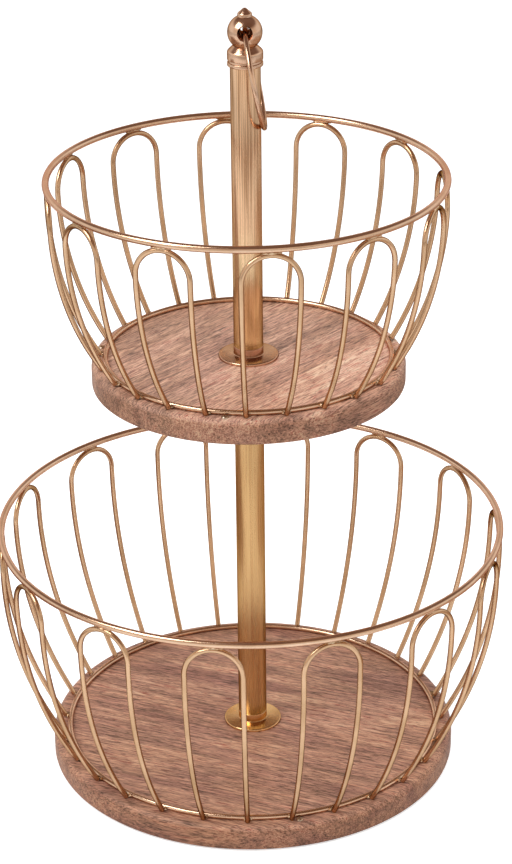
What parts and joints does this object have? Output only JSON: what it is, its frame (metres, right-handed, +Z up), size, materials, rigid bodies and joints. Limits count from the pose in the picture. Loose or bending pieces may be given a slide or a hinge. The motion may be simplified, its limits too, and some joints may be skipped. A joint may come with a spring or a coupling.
{
  "type": "tiered wire basket",
  "caption": "Tiered basket stand: round wooden trays on a metal post, each fenced by bent wire loops under a round rim, with a ball finial and a swinging ring handle on top",
  "frame": {"origin": "middle of the base's underside, on the surface that the pads stand on", "axes": "+Z up along the post, -Y towards the viewer of the picture, +X to the right; the ring handle rests on the post's +X side"},
  "size_m": [0.3338, 0.3338, 0.5155],
  "materials": {
    "tray_wood": "glued staves, sanded, thin pinkish-brown lacquer",
    "rose_wire": "rose-gold plated round wire, satin",
    "rose_brass": "rose-gold plated, brushed along the tube",
    "screw_steel": "small polished heads",
    "zinc_steel": "zinc-plated nut",
    "pad": "thin matt pads"
  },
  "bodies": {
    "stand": {"ball_finial": "rose_brass", "base_nut": "zinc_steel", "base_pads": "pad", "lower_base_ring": "rose_wire", "lower_flange": "rose_brass", "lower_loop_01": "rose_wire", "lower_loop_02": "rose_wire", "lower_loop_03": "rose_wire", "lower_loop_04": "rose_wire", "lower_loop_05": "rose_wire", "lower_loop_06": "rose_wire", "lower_loop_07": "rose_wire", "lower_loop_08": "rose_wire", "lower_loop_09": "rose_wire", "lower_loop_10": "rose_wire", "lower_loop_11": "rose_wire", "lower_loop_12": "rose_wire", "lower_loop_13": "rose_wire", "lower_loop_14": "rose_wire", "lower_post": "rose_brass", "lower_rim": "rose_wire", "lower_ring_screws": "screw_steel", "lower_tray": "tray_wood", "upper_base_ring": "rose_wire", "upper_flange": "rose_brass", "upper_loop_01": "rose_wire", "upper_loop_02": "rose_wire", "upper_loop_03": "rose_wire", "upper_loop_04": "rose_wire", "upper_loop_05": "rose_wire", "upper_loop_06": "rose_wire", "upper_loop_07": "rose_wire", "upper_loop_08": "rose_wire", "upper_loop_09": "rose_wire", "upper_loop_10": "rose_wire", "upper_loop_11": "rose_wire", "upper_loop_12": "rose_wire", "upper_post": "rose_brass", "upper_rim": "rose_wire", "upper_ring_screws": "screw_steel", "upper_tray": "tray_wood"},
    "ring_handle": {"ring_handle": "rose_brass"}
  },
  "joints": [
    {"name": "ring_swing", "type": "hinge", "parent": "stand", "child": "ring_handle", "pos_m": [0, 0, 0.5024], "axis": [0, -1, 0], "range_deg": [0, 338.4]}
  ]
}
